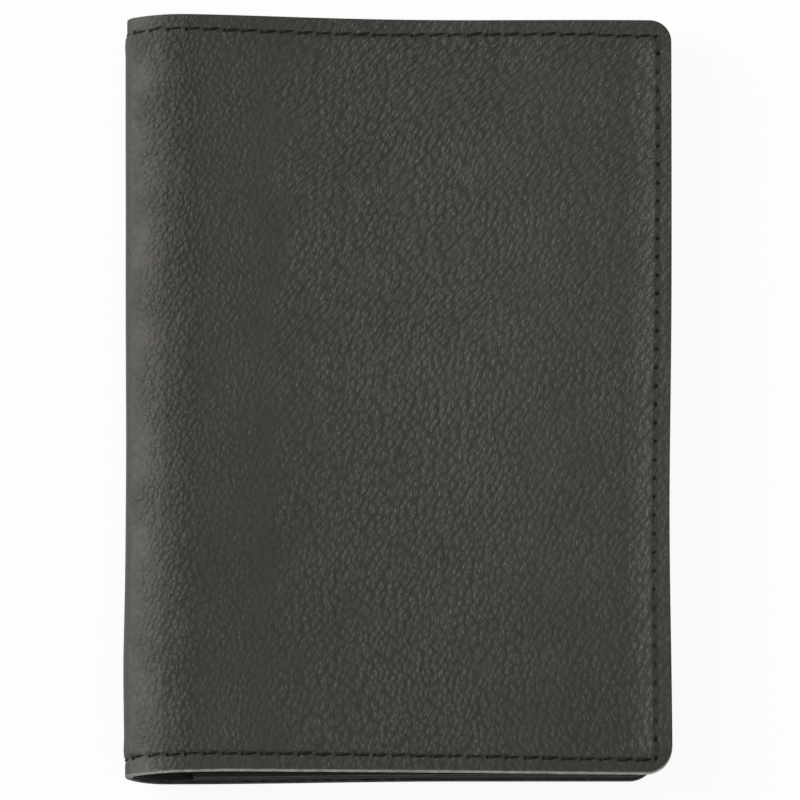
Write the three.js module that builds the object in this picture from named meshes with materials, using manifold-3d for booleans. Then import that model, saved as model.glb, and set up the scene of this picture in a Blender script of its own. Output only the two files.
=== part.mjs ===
// Folding badge holder of leather, shut and lying on its back cover.
// Millimetres, +Z up. X runs from the fold (-X) to the free edges (+X), Y along the fold.
// The origin is under the middle of the shut case, on the surface it lies on.

import * as THREE from 'three';
import { mergeVertices } from 'three/addons/utils/BufferGeometryUtils.js';
import Module from 'manifold-3d';

const wasm = await Module();
wasm.setup();

// Overall sizes of the shut case
const closedWidth = 80; // from the tip of the fold to the front cover's free edge
const caseHeight = 114;
const coverCornerRadius = 3.6;
const mouthOverhang = 2.4; // how far the front cover reaches past the back cover

// Layers
const leatherThickness = 1.2;
const liningThickness = 0.25;
const weltThickness = 0.8; // room for a stiff badge card
const filmThickness = 0.2;
const frameThickness = 0.5;
const panelThickness = 0.5;
const layerGap = 0.05; // between one layer and the next
const closedGap = 0.1; // between the two insides at the front cover's free edge
const linerInset = 0.3; // how far the inner layers stop short of the leather's cut edge

// Fold
const foldOpening = 5.3; // clear height between the linings where the front cover is highest
const tipHeight = 4.2; // height of the outermost line of the fold
const tipRadius = 2.4;
const backFlareLength = 6; // from the tip to where the back cover lies flat
const frontFlareLength = 8.4; // from the tip to the highest line of the front cover
const stripGap = 0.05; // between one strip of the fold and the next
const facetTurn = THREE.MathUtils.degToRad(9);

// Badge pocket inside the back cover
const pocketSetback = 4; // from the end of the fold to the pocket's mouth
const weltWidth = 4.5;
const filmMargin = 2.8; // film beyond the window on each side
const windowTopBar = 12; // frame above and below the window
const windowMouthBar = 10; // frame along the cover's free edge
const windowSpineBar = 8; // frame along the pocket's mouth
const windowCornerRadius = 3;

// Slip pocket inside the front cover
const panelSetback = 5; // from the end of the fold to the pocket's mouth
const thumbNotchRadius = 9;

// Stitching
const stitchPitch = 2.75;
const stitchInset = 2.25; // from the leather's cut edge to the middle of the seam
const threadWidth = 0.7;
const threadThickness = 0.22;
const threadSink = 0.05; // thread below the leather's face in the middle of a stitch
const stitchDip = 0.2; // how much deeper it lies where it goes through
const threadClearance = 0.06; // around a thread in its groove
const windowSeamInset = 1.4; // from the window's edge to the middle of its seam

// Colours and finishes
const leatherFinish = { color: 0x43453f, roughness: 0.55, metalness: 0 };
const liningFinish = { color: 0x17171a, roughness: 0.9, metalness: 0 };
const weltFinish = { color: 0x2a2a2b, roughness: 0.8, metalness: 0 };
const innerLeatherFinish = { color: 0x33342f, roughness: 0.6, metalness: 0 };
const filmFinish = { color: 0xdfe6e8, roughness: 0.1, metalness: 0, transparent: true, opacity: 0.3 };
const threadFinish = { color: 0x141415, roughness: 0.7, metalness: 0 };

// Depths below the leather's outer face
const liningDepth = leatherThickness + layerGap;
const innerDepth = liningDepth + liningThickness;
const weltDepth = innerDepth + layerGap;
const filmDepth = weltDepth + weltThickness + layerGap;
const frameDepth = filmDepth + filmThickness + layerGap;
const backStack = frameDepth + frameThickness;
const panelDepth = innerDepth + layerGap;
const frontStack = panelDepth + panelThickness;

// The fold's outer line is three arcs that run into each other: the back flare, the tip and the front flare.
// A turn of 0 is the flat back cover, half a turn the highest line of the front cover.
const crownHeight = foldOpening + 2 * innerDepth;
const mouthHeight = backStack + closedGap + frontStack;
const flareTurn = (rise, length) => 2 * Math.atan((rise - tipRadius) / (length - tipRadius));
const flareRadius = (rise, turn) => (rise - tipRadius * Math.cos(turn)) / (1 - Math.cos(turn));
const backFlareTurn = flareTurn(tipHeight, backFlareLength);
const backFlareRadius = flareRadius(tipHeight, backFlareTurn);
const frontRise = crownHeight - tipHeight;
const frontFlareTurn = flareTurn(frontRise, frontFlareLength);
const frontFlareRadius = flareRadius(frontRise, frontFlareTurn);

// Past its highest line the front flare turns on by the cover's slope, and the cover runs straight from there
// so that its free edge lies at the height of the stacked layers.
const crownToMouth = closedWidth - frontFlareLength;
const slopeArm = mouthHeight - crownHeight + frontFlareRadius;
const coverSlope =
  Math.asin(frontFlareRadius / Math.hypot(crownToMouth, slopeArm)) - Math.atan2(slopeArm, crownToMouth);
const foldTurn = Math.PI + coverSlope;

const tipX = -closedWidth / 2;
const frontEdgeX = closedWidth / 2;
const backEdgeX = frontEdgeX - mouthOverhang;
const edgeY = caseHeight / 2;
const seamY = edgeY - stitchInset;
const grooveWidth = threadWidth + 2 * threadClearance;
const grooveDepth = threadSink + stitchDip + threadThickness + threadClearance;
const innerGrooveDepth = threadSink + threadThickness + threadClearance;

function outward(turn) {
  return new THREE.Vector2(-Math.sin(turn), -Math.cos(turn));
}

function chainArcs(start, arcs) {
  let from = start;
  let turn = 0;
  return arcs.map(({ radius, end }) => {
    const centre = from.clone().addScaledVector(outward(turn), -radius);
    from = centre.clone().addScaledVector(outward(end), radius);
    turn = end;
    return { radius, end, centre };
  });
}

const backFlatStart = new THREE.Vector2(tipX + backFlareLength, 0);
const tipEndTurn = Math.PI - frontFlareTurn;
const foldArcs = chainArcs(backFlatStart, [
  { radius: backFlareRadius, end: backFlareTurn },
  { radius: tipRadius, end: tipEndTurn },
  { radius: frontFlareRadius, end: foldTurn },
]);

function arcAt(turn) {
  return foldArcs.find((arc) => turn <= arc.end) ?? foldArcs.at(-1);
}

function foldPoint(turn, depth) {
  const arc = arcAt(turn);
  return arc.centre.clone().addScaledVector(outward(turn), arc.radius - depth);
}

function foldLine(fromTurn, toTurn, depth) {
  const facets = Math.ceil(Math.abs(toTurn - fromTurn) / facetTurn);
  return Array.from({ length: facets + 1 }, (_, i) =>
    foldPoint(THREE.MathUtils.lerp(fromTurn, toTurn, i / facets), depth));
}

// The fold hinges on three lines, each in the middle of an arc.
const arcStarts = [0, ...foldArcs.map((arc) => arc.end)];
const hingeTurns = foldArcs.map((arc, i) => (arcStarts[i] + arc.end) / 2);
const gapTurn = (turn) => stripGap / 2 / arcAt(turn).radius;

// A cover is a flat run and a lip, the share of the fold that turns with it.
// Along is measured on its outer face from the end of the fold towards the free edge.
const frontFlatStart = foldPoint(foldTurn, 0);
const frontDirection = new THREE.Vector2(-Math.cos(foldTurn), Math.sin(foldTurn));
const back = {
  start: backFlatStart,
  direction: new THREE.Vector2(1, 0),
  inward: new THREE.Vector2(0, 1),
  edgeX: backEdgeX,
  length: backEdgeX - backFlatStart.x,
  hingeTurn: hingeTurns[0],
  lip: [0, hingeTurns[0] - gapTurn(hingeTurns[0])],
};
const front = {
  start: frontFlatStart,
  direction: frontDirection,
  inward: outward(foldTurn).negate(),
  edgeX: frontEdgeX,
  length: (frontEdgeX - frontFlatStart.x) / frontDirection.x,
  hingeTurn: hingeTurns.at(-1),
  lip: [foldTurn, hingeTurns.at(-1) + gapTurn(hingeTurns.at(-1))],
};

function coverPoint(cover, along, depth) {
  return cover.start.clone().addScaledVector(cover.direction, along).addScaledVector(cover.inward, depth);
}

// Sections in the X-Z plane
function flatSection(cover, from, to, top, bottom) {
  return [
    coverPoint(cover, from, top),
    coverPoint(cover, to, top),
    coverPoint(cover, to, bottom),
    coverPoint(cover, from, bottom),
  ];
}

function lippedSection(cover, to, top, bottom, lipEnd = cover.lip[1]) {
  return [
    coverPoint(cover, to, top),
    ...foldLine(cover.lip[0], lipEnd, top),
    ...foldLine(lipEnd, cover.lip[0], bottom),
    coverPoint(cover, to, bottom),
  ];
}

// A strip stops short of its hinge lines by half the gap, and the grooves cut in it run out to those lines.
function stripSection(index, top, bottom, share = 1) {
  const from = hingeTurns[index] + share * gapTurn(hingeTurns[index]);
  const to = hingeTurns[index + 1] - share * gapTurn(hingeTurns[index + 1]);
  return [...foldLine(from, to, top), ...foldLine(to, from, bottom)];
}

// A thread rises to the leather's face in each stitch and dips where it goes through.
function stitchWave(length, depth) {
  const stitches = Math.round(length / stitchPitch);
  return Array.from({ length: 2 * stitches + 1 }, (_, i) => ({
    along: (length * i) / (2 * stitches),
    depth: depth + (i % 2) * stitchDip,
  }));
}

function seamSection(cover, length) {
  const toSection = ({ along, depth }) => coverPoint(cover, along, depth);
  const threadBottom = threadSink + threadThickness;
  return [
    ...stitchWave(length, threadSink).reverse().map(toSection),
    ...foldLine(cover.lip[0], cover.lip[1], threadSink).slice(1),
    ...foldLine(cover.lip[1], cover.lip[0], threadBottom).slice(0, -1),
    ...stitchWave(length, threadBottom).map(toSection),
  ];
}

// Solids
function toSolid(geometry) {
  geometry.deleteAttribute('normal');
  geometry.deleteAttribute('uv');
  const merged = mergeVertices(geometry);
  return new wasm.Manifold(new wasm.Mesh({
    numProp: 3,
    vertProperties: merged.attributes.position.array,
    triVerts: merged.index.array,
  }));
}

function toGeometry(solid) {
  const mesh = solid.getMesh();
  const geometry = new THREE.BufferGeometry();
  geometry.setAttribute('position', new THREE.BufferAttribute(mesh.vertProperties, mesh.numProp));
  geometry.setIndex(new THREE.BufferAttribute(mesh.triVerts, 1));
  geometry.computeVertexNormals();
  return geometry;
}

function extrude(shape, depth) {
  return new THREE.ExtrudeGeometry(shape, { depth, bevelEnabled: false, curveSegments: 8 });
}

// A section carried along Y
function sectionSolid(points, lowY, highY) {
  const geometry = extrude(new THREE.Shape(points), highY - lowY);
  geometry.rotateX(Math.PI / 2);
  geometry.translate(0, highY, 0);
  return toSolid(geometry);
}

// A plan outline carried through the whole height of the case
function planSolid(shape) {
  const geometry = extrude(shape, 3 * crownHeight);
  geometry.translate(0, 0, -crownHeight);
  return toSolid(geometry);
}

function roundedRectangle(lowX, highX, halfY, radius, lowRadius = radius) {
  const shape = new THREE.Shape();
  shape.moveTo(lowX + lowRadius, -halfY);
  shape.lineTo(highX - radius, -halfY);
  shape.absarc(highX - radius, radius - halfY, radius, -Math.PI / 2, 0);
  shape.lineTo(highX, halfY - radius);
  shape.absarc(highX - radius, halfY - radius, radius, 0, Math.PI / 2);
  shape.lineTo(lowX + lowRadius, halfY);
  if (lowRadius > 0) shape.absarc(lowX + lowRadius, halfY - lowRadius, lowRadius, Math.PI / 2, Math.PI);
  shape.lineTo(lowX, lowRadius - halfY);
  if (lowRadius > 0) shape.absarc(lowX + lowRadius, lowRadius - halfY, lowRadius, Math.PI, 1.5 * Math.PI);
  return shape;
}

// A cover's outline, square at the fold and rounded at its free corners
function coverPlan(cover, inset = 0) {
  const radius = coverCornerRadius - inset;
  return planSolid(roundedRectangle(2 * tipX, cover.edgeX - inset, edgeY - inset, radius, 0));
}

// Layers of a cover run past its outline, which then trims them.
function lippedLayer(cover, top, bottom, inset) {
  const section = lippedSection(cover, cover.length + leatherThickness, top, bottom);
  return sectionSolid(section, -caseHeight, caseHeight).intersect(coverPlan(cover, inset));
}

function flatLayer(cover, from, top, bottom) {
  const section = flatSection(cover, from, cover.length + leatherThickness, top, bottom);
  return sectionSolid(section, -caseHeight, caseHeight);
}

// A band of the given width along a cover's top, free edge and bottom, open towards the fold
function bandPlan(cover, inset, width) {
  const plain = (margin) =>
    planSolid(roundedRectangle(2 * tipX, cover.edgeX - margin, edgeY - margin, 0, 0));
  return plain(inset).subtract(plain(inset + width));
}

const pieces = new THREE.Group();

function addPiece(name, solid, finish) {
  const piece = new THREE.Mesh(toGeometry(solid), new THREE.MeshStandardMaterial(finish));
  piece.name = name;
  pieces.add(piece);
}

// Seams on a cover's outer face: grooves for the top, bottom and side threads, and the threads in them
function seamRun(cover) {
  return cover.length - stitchInset;
}

function cutGrooves(cover, leather) {
  const side = seamRun(cover);
  const above = -leatherThickness;
  const along = lippedSection(cover, side, above, grooveDepth, cover.hingeTurn);
  const across = flatSection(cover, side - grooveWidth / 2, side + grooveWidth / 2, above, grooveDepth);
  const reach = seamY + grooveWidth / 2;
  return leather
    .subtract(sectionSolid(along, seamY - grooveWidth / 2, reach))
    .subtract(sectionSolid(along, -reach, grooveWidth / 2 - seamY))
    .subtract(sectionSolid(across, -reach, reach));
}

function sideThread(cover) {
  const length = 2 * seamY;
  const outline = [
    ...stitchWave(length, threadSink),
    ...stitchWave(length, threadSink + threadThickness).reverse(),
  ];
  const shape = new THREE.Shape(outline.map(({ along, depth }) => new THREE.Vector2(along - seamY, depth)));
  const geometry = extrude(shape, threadWidth);
  const origin = coverPoint(cover, seamRun(cover) - threadWidth / 2, 0);
  const alongY = new THREE.Vector3(0, 1, 0);
  const inward = new THREE.Vector3(cover.inward.x, 0, cover.inward.y);
  const along = new THREE.Vector3(cover.direction.x, 0, cover.direction.y);
  const handed = alongY.clone().cross(inward).dot(along);
  const placed = new THREE.Matrix4().makeBasis(alongY.multiplyScalar(handed), inward, along);
  geometry.applyMatrix4(placed.setPosition(origin.x, 0, origin.y));
  return toSolid(geometry);
}

function addSeams(side, cover) {
  const end = seamRun(cover) - threadWidth / 2 - threadClearance;
  const section = seamSection(cover, end);
  const half = threadWidth / 2;
  addPiece(`${side}_top_thread`, sectionSolid(section, seamY - half, seamY + half), threadFinish);
  addPiece(`${side}_side_thread`, sideThread(cover), threadFinish);
  addPiece(`${side}_bottom_thread`, sectionSolid(section, -seamY - half, half - seamY), threadFinish);
}

// The inner side of the edge stitching lies in a groove along three sides of the innermost layer.
function innerBand(cover, from, depth, width, low, high) {
  const slab = flatLayer(cover, from, depth + low, depth + high);
  return bandPlan(cover, stitchInset - width / 2, width).intersect(slab);
}

function innerGroove(cover, from, depth) {
  return innerBand(cover, from - grooveWidth, depth, grooveWidth, -innerGrooveDepth, innerGrooveDepth);
}

function innerThread(cover, from, depth) {
  return innerBand(cover, from, depth, threadWidth, -threadSink - threadThickness, -threadSink);
}

// Back cover: leather and lining
addPiece('back_cover', cutGrooves(back, lippedLayer(back, 0, leatherThickness, 0)), leatherFinish);
addSeams('back', back);
addPiece('back_lining', lippedLayer(back, liningDepth, innerDepth, linerInset), liningFinish);

// Badge pocket: welt, window film and window frame, open towards the fold
const backLayer = (top, bottom) => flatLayer(back, pocketSetback, top, bottom);
const welt = bandPlan(back, 0, linerInset + weltWidth)
  .intersect(coverPlan(back, linerInset))
  .intersect(backLayer(weltDepth, weltDepth + weltThickness));
addPiece('badge_pocket_welt', welt, weltFinish);

const windowLowX = back.start.x + pocketSetback + windowSpineBar;
const windowHighX = backEdgeX - windowMouthBar;
const windowHalfY = edgeY - windowTopBar;
const windowPlan = (margin) =>
  planSolid(roundedRectangle(
    windowLowX - margin,
    windowHighX + margin,
    windowHalfY + margin,
    windowCornerRadius + margin,
  ));
const film = windowPlan(filmMargin).intersect(backLayer(filmDepth, filmDepth + filmThickness));
addPiece('badge_window_film', film, filmFinish);

const windowRing = (width) =>
  windowPlan(windowSeamInset + width / 2).subtract(windowPlan(windowSeamInset - width / 2));
const windowGroove = windowRing(grooveWidth)
  .intersect(backLayer(backStack - innerGrooveDepth, backStack + innerGrooveDepth));
const windowFrame = backLayer(frameDepth, backStack)
  .intersect(coverPlan(back, linerInset))
  .subtract(windowPlan(0))
  .subtract(windowGroove)
  .subtract(innerGroove(back, pocketSetback, backStack));
addPiece('badge_window_frame', windowFrame, innerLeatherFinish);
const windowThread = windowRing(threadWidth)
  .intersect(backLayer(backStack - threadSink - threadThickness, backStack - threadSink));
addPiece('badge_window_thread', windowThread, threadFinish);
addPiece('back_inner_thread', innerThread(back, pocketSetback, backStack), threadFinish);

// Fold: two strips of leather and lining with the seams carried round them
['spine_back', 'spine_front'].forEach((strip, i) => {
  const half = threadWidth / 2;
  const reach = grooveWidth / 2;
  const groove = stripSection(i, -leatherThickness, grooveDepth, 0);
  const leather = sectionSolid(stripSection(i, 0, leatherThickness), -edgeY, edgeY)
    .subtract(sectionSolid(groove, seamY - reach, seamY + reach))
    .subtract(sectionSolid(groove, -seamY - reach, reach - seamY));
  addPiece(`${strip}_leather`, leather, leatherFinish);
  const lining = sectionSolid(stripSection(i, liningDepth, innerDepth), linerInset - edgeY, edgeY - linerInset);
  addPiece(`${strip}_lining`, lining, liningFinish);
  const thread = stripSection(i, threadSink, threadSink + threadThickness);
  addPiece(`${strip}_top_thread`, sectionSolid(thread, seamY - half, seamY + half), threadFinish);
  addPiece(`${strip}_bottom_thread`, sectionSolid(thread, -seamY - half, half - seamY), threadFinish);
});

// Front cover: leather, lining and the slip pocket with its thumb notch
addPiece('front_cover', cutGrooves(front, lippedLayer(front, 0, leatherThickness, 0)), leatherFinish);
addSeams('front', front);
addPiece('front_lining', lippedLayer(front, liningDepth, innerDepth, linerInset), liningFinish);

const notchCentre = coverPoint(front, panelSetback, panelDepth);
const notchShape = new THREE.Shape().absarc(notchCentre.x, 0, thumbNotchRadius, 0, 2 * Math.PI);
const panel = flatLayer(front, panelSetback, panelDepth, frontStack)
  .intersect(coverPlan(front, linerInset))
  .subtract(planSolid(notchShape))
  .subtract(innerGroove(front, panelSetback, frontStack));
addPiece('front_pocket_panel', panel, innerLeatherFinish);
addPiece('front_inner_thread', innerThread(front, panelSetback, frontStack), threadFinish);

export default pieces;
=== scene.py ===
import math

import bmesh
import bpy
import numpy as np
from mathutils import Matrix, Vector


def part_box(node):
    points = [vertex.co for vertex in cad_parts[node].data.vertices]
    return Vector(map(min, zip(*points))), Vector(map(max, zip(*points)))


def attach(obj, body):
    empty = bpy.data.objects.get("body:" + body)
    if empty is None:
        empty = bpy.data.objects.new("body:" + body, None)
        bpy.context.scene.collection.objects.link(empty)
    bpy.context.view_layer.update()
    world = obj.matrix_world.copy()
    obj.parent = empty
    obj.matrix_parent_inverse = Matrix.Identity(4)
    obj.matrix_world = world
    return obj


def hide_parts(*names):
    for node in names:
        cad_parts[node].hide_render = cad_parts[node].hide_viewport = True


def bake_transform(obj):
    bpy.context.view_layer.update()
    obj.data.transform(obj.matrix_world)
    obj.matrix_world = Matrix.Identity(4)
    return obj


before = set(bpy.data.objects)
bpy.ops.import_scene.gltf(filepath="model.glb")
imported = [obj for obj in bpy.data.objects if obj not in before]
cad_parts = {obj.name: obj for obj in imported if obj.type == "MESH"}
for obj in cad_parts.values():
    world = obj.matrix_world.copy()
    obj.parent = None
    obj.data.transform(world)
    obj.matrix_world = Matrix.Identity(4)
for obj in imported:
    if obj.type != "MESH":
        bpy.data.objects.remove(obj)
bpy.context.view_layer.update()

# Outer leather: one cut of pebble-grained hide, 1.2 mm thick and left raw at its cut edges. It runs from
# the back cover's free edge round the rolled fold to the front cover's free edge, and all the rest is sewn
# into it.
mm = 0.001
leather_thick = 1.2 * mm
corner_radius = 3.6 * mm
half_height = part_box("front_cover")[1].y
front_edge_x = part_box("front_cover")[1].x
back_edge_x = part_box("back_cover")[1].x
crown_height = 8.3 * mm
mouth_height = 5.3 * mm
tip_height = 4.2 * mm
tip_radius = 2.4 * mm
back_flare = 6.0 * mm
front_flare = 8.4 * mm
fold_start_x = back_flare - front_edge_x


def flare_arc(rise, length):
    """Turn and radius of the arc from the fold's tip into a cover: twice the angle of the rise over the
    length, both less the tip's radius, and the radius that brings that turn to the tip's height."""
    turn = 2 * math.atan((rise - tip_radius) / (length - tip_radius))
    return turn, (rise - tip_radius * math.cos(turn)) / (1 - math.cos(turn))


back_turn, back_radius = flare_arc(tip_height, back_flare)
front_turn, front_radius = flare_arc(crown_height - tip_height, front_flare)
crown_to_mouth = 2 * front_edge_x - front_flare
slope_arm = mouth_height - crown_height + front_radius
tangent_turn = math.asin(front_radius / math.hypot(crown_to_mouth, slope_arm))
cover_slope = tangent_turn - math.atan2(slope_arm, crown_to_mouth)
arc_turns = np.array([0, back_turn, math.pi - front_turn, math.pi + cover_slope])
arc_radii = np.array([back_radius, tip_radius, front_radius])
arc_ends = np.concatenate([[0], np.cumsum(arc_radii * np.diff(arc_turns))])


def leather_path(s):
    """Point (x, z) and outward normal at distance s along the outer face, with s = 0 where the back cover
    ends. Each arc adds its radius times the change of the normal over what has been passed of its turn, and
    the covers run straight on at both ends."""
    turn = np.interp(s, arc_ends, arc_turns)
    x = fold_start_x - np.minimum(s, 0)
    z = np.zeros_like(x)
    for radius, first, last in zip(arc_radii, arc_turns, arc_turns[1:]):
        passed = np.clip(turn, first, last)
        x = x + radius * (math.sin(first) - np.sin(passed))
        z = z + radius * (math.cos(first) - np.cos(passed))
    beyond = np.maximum(s - arc_ends[-1], 0)
    return x - beyond * np.cos(turn), z + beyond * np.sin(turn), -np.sin(turn), -np.cos(turn)


front_flat_x = float(leather_path(arc_ends[-1:])[0][0])
back_end = fold_start_x - back_edge_x
front_end = arc_ends[-1] + (front_edge_x - front_flat_x) / math.cos(cover_slope)
front_run = front_end - arc_ends[-1]
fold_middle = arc_ends[-1] / 2


def ease(t):
    """0 before 0, 1 after 1, and three t squared less two t cubed between."""
    t = np.clip(t, 0, 1)
    return t * t * (3 - 2 * t)


def bell(distance, width):
    """1 at distance 0, falling on both sides as e to the minus square of the distance over the width."""
    return np.exp(-((distance / width) ** 2))


def front_share_at(s):
    """Share of the front cover's run that is passed at path distance s."""
    return np.clip((s - arc_ends[-1]) / front_run, 0, 1)


# Wear of the used case. The bulge, the dent and the hollow are each a size, a middle height and a spread.
stretch_top = 0.15 * mm
stretch_bottom = 0.43 * mm
stretch_lost = 0.3 * mm
stretch_lost_from = 13 * mm
stretch_near = 10 * mm
stretch_fade = 42 * mm
sag_depth = 1.36 * mm
sag_lean = 0.82
sag_hem = half_height / 2
tip_spread = 6 * mm
fold_bulge = (0.16 * mm, -40 * mm, 8 * mm)
fold_dent = (0.13 * mm, -9 * mm, 15 * mm)
edge_hollow = (0.4 * mm, -19 * mm, 24 * mm)
hollow_from = 0.6


def worn_at(y, size, middle, spread):
    """Wear of that size at its middle height, falling off above and below it as a bell curve."""
    return size * bell(y - middle, spread)


def on_case(s, y, rise):
    """Points at path distance s and height y, raised from the outer face along its normal. The used case
    isn't true: it is longer beside the fold, the front cover has sunk except along its lower hem, the fold is
    dented at its middle and bulges low down, and the front cover's free edge is worn hollow below its
    middle."""
    from_bottom = y + half_height
    longer_below = stretch_bottom - stretch_lost * ease((s - stretch_lost_from) / stretch_lost_from)
    longer_here = longer_below + (stretch_top - longer_below) * ease(from_bottom / (2 * half_height))
    longer = longer_here * (1 - ease((np.abs(s - fold_middle) - stretch_near) / stretch_fade))
    front_share = front_share_at(s)
    sunk = sag_depth * ease(from_bottom / sag_hem) * np.sin(math.pi * front_share**sag_lean) ** 2
    swollen = bell(s - fold_middle, tip_spread) * (worn_at(y, *fold_bulge) - worn_at(y, *fold_dent))
    s = s - worn_at(y, *edge_hollow) * ease((front_share - hollow_from) / (1 - hollow_from))
    x, z, normal_x, normal_z = leather_path(s)
    rise = rise - sunk + swollen
    return np.stack([x + normal_x * rise, y * (1 + longer / half_height), z + normal_z * rise], axis=-1)


seam_inset = 2.25 * mm
stitch_count = 57
side_stitch_count = 39
seam_low = back_end + seam_inset
seam_high = front_end - seam_inset
stitch_pitch = (seam_high - seam_low) / stitch_count
side_pitch = 2 * (half_height - seam_inset) / side_stitch_count
top_wander = 0.09 * mm
top_wander_run = 9 * mm
top_shift = 0.1 * mm
top_turn_in = 0.2 * mm
turn_in_from = 0.8
bottom_drift = 0.6 * mm
bottom_shift = 0.18 * mm
side_seam_lean = 0.26 * mm
corner_wear = 0.4 * mm


def seam_height(s, end):
    """How far from the middle the seam along the top (end 1) or the bottom (end -1) runs at path distance s.
    It wanders a little at the top and turns in before its last hole, and at the bottom it drifts outwards
    towards the front cover's free edge."""
    front_share = front_share_at(s)
    turned_in = top_turn_in * ease((front_share - turn_in_from) / (1 - turn_in_from))
    wander = top_wander * np.sin(s / top_wander_run) - top_shift - turned_in
    drift = bottom_drift * front_share**1.5 - bottom_shift
    return half_height - seam_inset + np.where(end > 0, wander, drift)


def side_seam(y):
    """Path distance of the front cover's side seam at height y. It is nearer the edge at the top."""
    return seam_high + side_seam_lean * y / half_height


def past_seams(s, y):
    """How far a place lies outside the side seam, and outside the seam along the top or the bottom."""
    over_side = np.where(s > fold_middle, s - side_seam(y), seam_low - s)
    over_end = np.abs(y) - seam_height(s, np.sign(y))
    return over_side, over_end


def corner_radius_at(y):
    """Radius of the free corners: the lower ones are worn rounder than the upper ones."""
    return corner_radius - corner_wear * np.sign(y)


def edge_distance(s, y):
    """Distance in from the cut edge: to the nearer straight side or, at a free corner, to its arc."""
    to_mouth = np.minimum(front_end - s, s - back_end)
    radius = corner_radius_at(y)
    corner_s = np.maximum(radius - to_mouth, 0)
    corner_y = np.maximum(np.abs(y) - half_height + radius, 0)
    straight = np.minimum(to_mouth, half_height - np.abs(y))
    return np.where(corner_s * corner_y > 0, radius - np.hypot(corner_s, corner_y), straight)


def rounded_off(to_edge, radius):
    """Fall of a face towards its cut edge, which is rounded as a quarter circle of that radius."""
    short = np.clip(radius - to_edge, 0, radius)
    return radius - np.sqrt(radius**2 - short**2)


hole_radius = 0.32 * mm
side_hole_radius = 0.38 * mm
side_hole_shift = 0.1 * mm


def needle_holes(s, y, over_side, over_end):
    """Share of a needle hole at each place: 1 at a hole's middle, falling off round it as a bell curve."""
    along = (s - seam_low) / stitch_pitch
    side_along = (y + half_height - seam_inset) / side_pitch
    from_hole = (along - np.round(along)) * stitch_pitch
    from_side_hole = (side_along - np.round(side_along)) * side_pitch
    past_side = over_side - side_hole_shift
    end_hole = bell(np.hypot(from_hole, over_end), hole_radius) * (over_side < hole_radius)
    side_hole = bell(np.hypot(from_side_hole, past_side), side_hole_radius) * (over_end < hole_radius)
    return np.maximum(end_hole, side_hole)


hem_curl = 0.1 * mm
hem_curl_slope = 0.12
bank_height = 0.75 * mm
bank_reach = 4.6 * mm
bank_step = 0.3 * mm
bank_end_fade = 2.5 * mm
cover_hollow = 0.5 * mm
hollow_start = 6 * mm
hollow_fade = 45 * mm


def side_bank(s, over_side, over_end):
    """Rise of the front cover beside its side seam. The cover lies in a hollow that banks up to the seam, as
    the square of the way there, and the hem beyond curls up to its edge. At the top and bottom seams this
    fades out."""
    inside = np.maximum(-over_side, 0)
    curl = hem_curl + hem_curl_slope * np.maximum(over_side, 0)
    climb = bank_height * np.clip(1 - inside / bank_reach, 0, 1) ** 2
    hollow = cover_hollow * (1 - ease((inside - hollow_start) / hollow_fade))
    bank = curl + (climb - hollow - curl) * ease(inside / bank_step)
    return bank * ease(-over_end / bank_end_fade) * (s > fold_middle)


def soft_noise(u, v, seed):
    """Smooth noise from -1 to 1 on a plane: random values at whole u and v, eased into each other between."""
    size = 257
    table = np.random.default_rng(seed).uniform(-1, 1, (size, size))
    low_u = np.floor(u).astype(int)
    low_v = np.floor(v).astype(int)
    share_u = ease(u - low_u)
    share_v = ease(v - low_v)

    def along_u(row):
        """Values on one row of the table, eased from each whole u to the next."""
        return table[low_u % size, row] * (1 - share_u) + table[(low_u + 1) % size, row] * share_u

    return along_u(low_v % size) * (1 - share_v) + along_u((low_v + 1) % size) * share_v


edge_round = 0.15 * mm
rub_width = 0.04 * mm
rub_fade = 0.1 * mm
rub_start = 2 * mm
tip_seam_spread = 4 * mm
end_groove_depth = 0.17 * mm
tip_groove_extra = 0.06 * mm
end_groove_width = 0.36 * mm
side_groove_depth = 0.03 * mm
side_groove_width = 0.22 * mm
hem_step = 0.7 * mm
hem_press = 0.1 * mm
tip_hem_extra = 0.1 * mm
hole_depth = 0.3 * mm
swell_height = 0.09 * mm
swell_inset = 1.7 * mm
swell_width = 1.1 * mm
wave_height = 0.05 * mm
wave_lengths = (17 * mm, 23 * mm)
wave_inset = 1 * mm
wave_fade = 6 * mm
crease_height = 0.03 * mm
crease_middle = 15 * mm
crease_spread = 6 * mm
crease_width = 0.95 * mm
crease_length = 5.5 * mm
crease_slant_run = 5.625 * mm
crease_inset = 3 * mm
crease_fade = 6 * mm


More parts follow.
